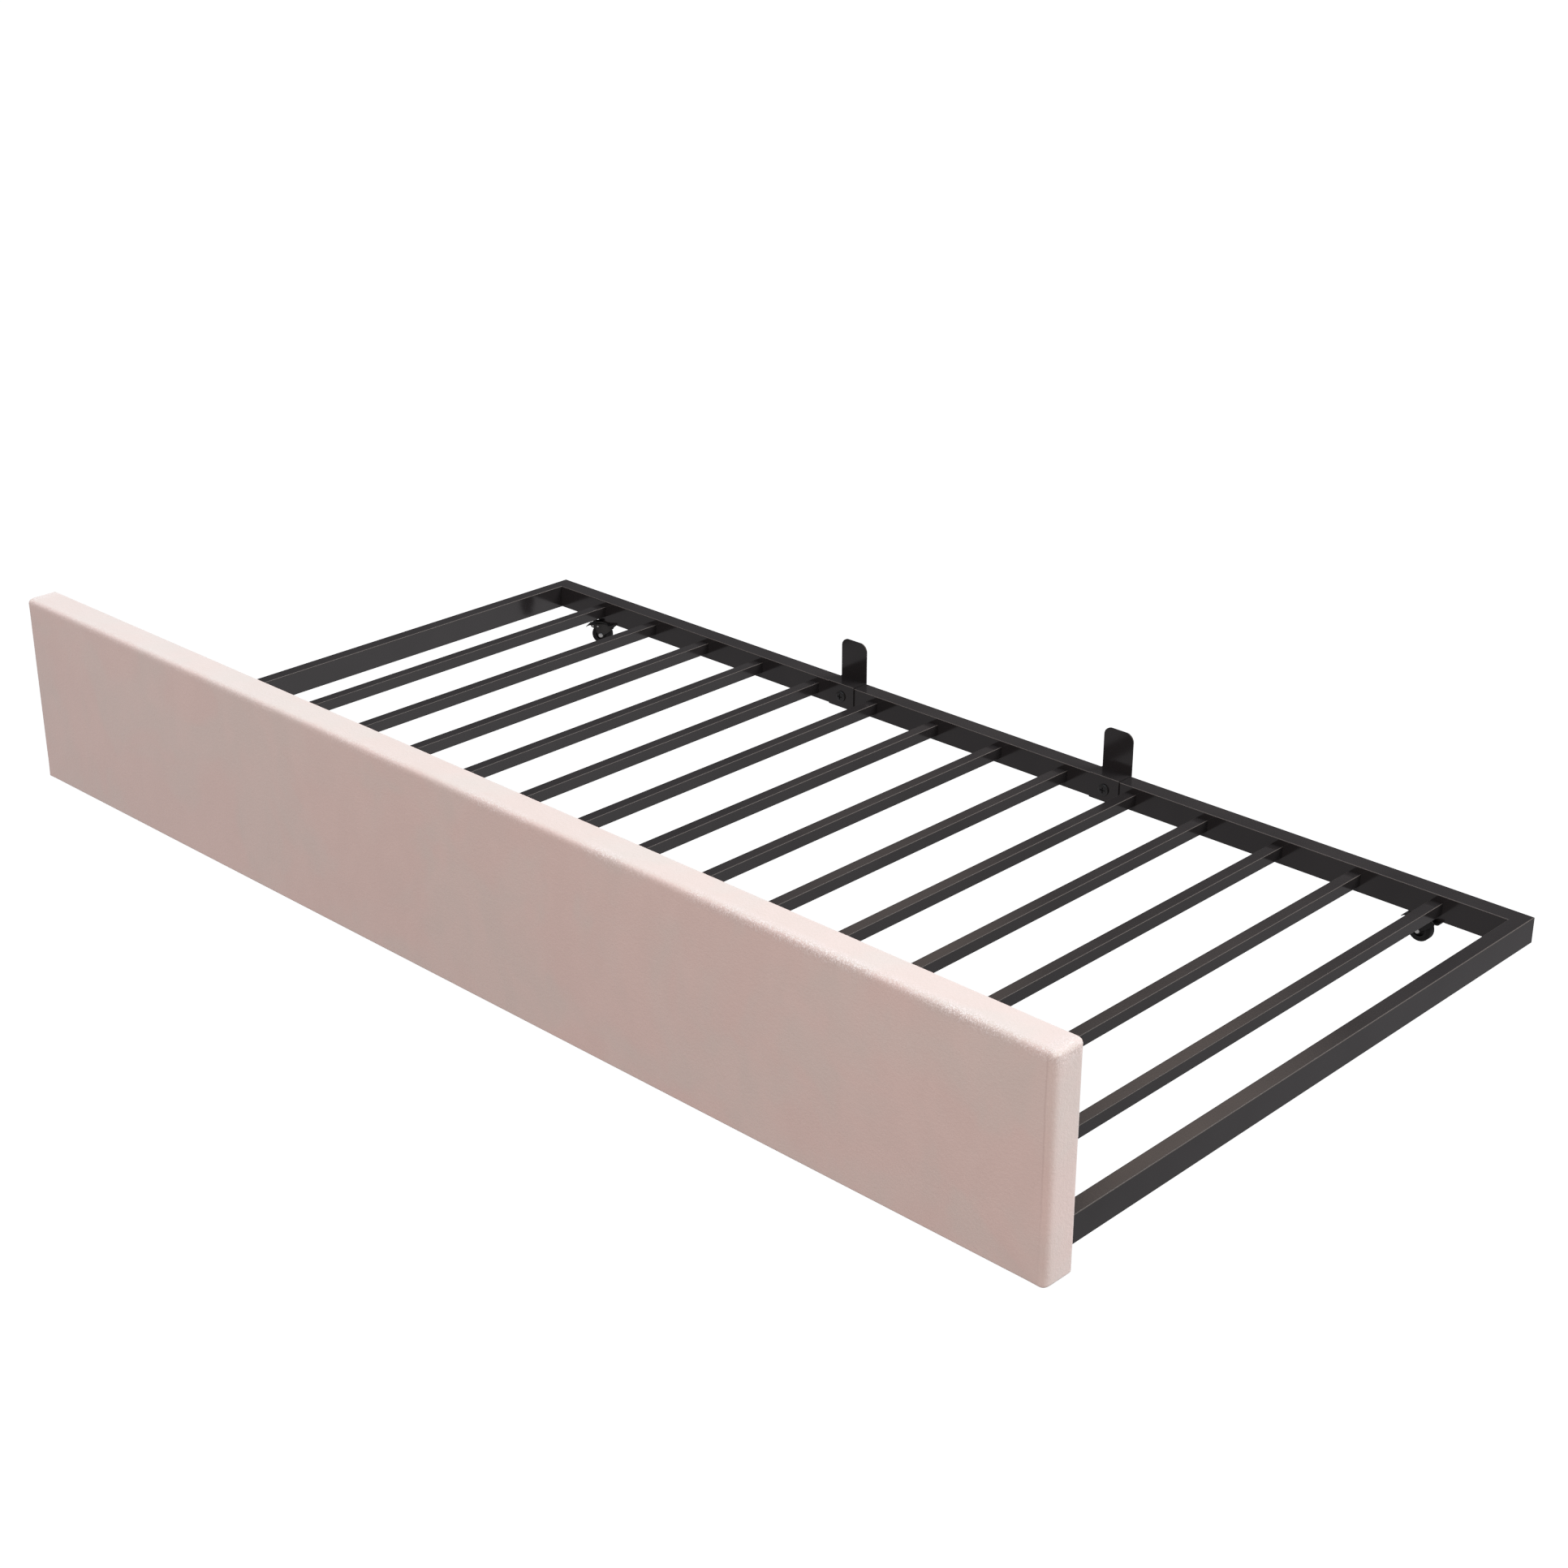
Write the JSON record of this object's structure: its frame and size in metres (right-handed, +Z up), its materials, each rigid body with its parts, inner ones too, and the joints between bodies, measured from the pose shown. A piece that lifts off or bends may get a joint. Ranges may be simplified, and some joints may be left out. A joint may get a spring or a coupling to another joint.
{
  "type": "trundle bed",
  "caption": "Low trundle bed: slatted steel frame with mattress stops, padded velvet front panel and braked swivel casters.",
  "frame": {"origin": "on the floor, under the middle of the object's bounding box", "axes": "+X along the bed to the right seen from the padded panel, +Y from the panel to the back rail, +Z up"},
  "size_m": [1.936, 1.041, 0.3115],
  "materials": {
    "frame_paint": "satin",
    "caster_steel": "satin",
    "pedal": "satin",
    "caster_plastic": "satin",
    "tyre": "matte",
    "bright_zinc": "satin",
    "stop_screw": "satin",
    "velvet": "matte",
    "foam": "matte",
    "dust_cloth": "matte",
    "board": "matte"
  },
  "bodies": {
    "frame": {"rail_back": "frame_paint", "rail_front": "frame_paint", "rail_left": "frame_paint", "rail_right": "frame_paint", "slat_01": "frame_paint", "slat_02": "frame_paint", "slat_03": "frame_paint", "slat_04": "frame_paint", "slat_05": "frame_paint", "slat_06": "frame_paint", "slat_07": "frame_paint", "slat_08": "frame_paint", "slat_09": "frame_paint", "slat_10": "frame_paint", "slat_11": "frame_paint", "slat_12": "frame_paint", "slat_13": "frame_paint", "slat_14": "frame_paint", "caster_carriers": "frame_paint", "mattress_stop_left": "frame_paint", "mattress_stop_right": "frame_paint", "mattress_stop_screws": "stop_screw", "panel_board": "board", "panel_foam": "foam", "panel_cover": "velvet", "panel_dust_cloth": "dust_cloth", "panel_bolts": "bright_zinc", "panel_tee_nuts": "bright_zinc", "caster_kingpins": "bright_zinc", "caster_swivel_bushes": "caster_plastic", "caster_screws": "bright_zinc", "rear_left_plate": "caster_steel", "rear_right_plate": "caster_steel", "front_left_plate": "caster_steel", "front_right_plate": "caster_steel"},
    "rear_left_swivel": {"rear_left_fork": "caster_steel", "rear_left_axle": "bright_zinc", "rear_left_rivets": "bright_zinc"},
    "rear_left_wheel": {"rear_left_wheel_hub": "caster_plastic", "rear_left_tyre": "tyre"},
    "rear_left_brake": {"rear_left_brake_pedal": "pedal"},
    "rear_right_swivel": {"rear_right_fork": "caster_steel", "rear_right_axle": "bright_zinc", "rear_right_rivets": "bright_zinc"},
    "rear_right_wheel": {"rear_right_wheel_hub": "caster_plastic", "rear_right_tyre": "tyre"},
    "rear_right_brake": {"rear_right_brake_pedal": "pedal"},
    "front_left_swivel": {"front_left_fork": "caster_steel", "front_left_axle": "bright_zinc", "front_left_rivets": "bright_zinc"},
    "front_left_wheel": {"front_left_wheel_hub": "caster_plastic", "front_left_tyre": "tyre"},
    "front_left_brake": {"front_left_brake_pedal": "pedal"},
    "front_right_swivel": {"front_right_fork": "caster_steel", "front_right_axle": "bright_zinc", "front_right_rivets": "bright_zinc"},
    "front_right_wheel": {"front_right_wheel_hub": "caster_plastic", "front_right_tyre": "tyre"},
    "front_right_brake": {"front_right_brake_pedal": "pedal"}
  },
  "joints": [
    {"name": "rear_left_swivel", "type": "hinge", "parent": "frame", "child": "rear_left_swivel", "pos_m": [-0.816, 0.5005, 0.036], "axis": [0, 0, 1], "continuous": true},
    {"name": "rear_left_wheel_spin", "type": "hinge", "parent": "rear_left_swivel", "child": "rear_left_wheel", "pos_m": [-0.82924, 0.49346, 0.0175], "axis": [-0.4695, 0.8829, 0], "continuous": true},
    {"name": "rear_left_brake_press", "type": "hinge", "parent": "rear_left_swivel", "child": "rear_left_brake", "pos_m": [-0.84161, 0.48689, 0.0332], "axis": [0.4695, -0.8829, 0], "range_deg": [0, 18]},
    {"name": "rear_right_swivel", "type": "hinge", "parent": "frame", "child": "rear_right_swivel", "pos_m": [0.816, 0.5005, 0.036], "axis": [0, 0, 1], "continuous": true},
    {"name": "rear_right_wheel_spin", "type": "hinge", "parent": "rear_right_swivel", "child": "rear_right_wheel", "pos_m": [0.801, 0.5005, 0.0175], "axis": [0, 1, 0], "continuous": true},
    {"name": "rear_right_brake_press", "type": "hinge", "parent": "rear_right_swivel", "child": "rear_right_brake", "pos_m": [0.787, 0.5005, 0.0332], "axis": [0, -1, 0], "range_deg": [0, 18]},
    {"name": "front_left_swivel", "type": "hinge", "parent": "frame", "child": "front_left_swivel", "pos_m": [-0.816, -0.4225, 0.036], "axis": [0, 0, 1], "continuous": true},
    {"name": "front_left_wheel_spin", "type": "hinge", "parent": "front_left_swivel", "child": "front_left_wheel", "pos_m": [-0.831, -0.4225, 0.0175], "axis": [0, 1, 0], "continuous": true},
    {"name": "front_left_brake_press", "type": "hinge", "parent": "front_left_swivel", "child": "front_left_brake", "pos_m": [-0.845, -0.4225, 0.0332], "axis": [0, -1, 0], "range_deg": [0, 18]},
    {"name": "front_right_swivel", "type": "hinge", "parent": "frame", "child": "front_right_swivel", "pos_m": [0.816, -0.4225, 0.036], "axis": [0, 0, 1], "continuous": true},
    {"name": "front_right_wheel_spin", "type": "hinge", "parent": "front_right_swivel", "child": "front_right_wheel", "pos_m": [0.801, -0.4225, 0.0175], "axis": [0, 1, 0], "continuous": true},
    {"name": "front_right_brake_press", "type": "hinge", "parent": "front_right_swivel", "child": "front_right_brake", "pos_m": [0.787, -0.4225, 0.0332], "axis": [0, -1, 0], "range_deg": [0, 18]}
  ]
}
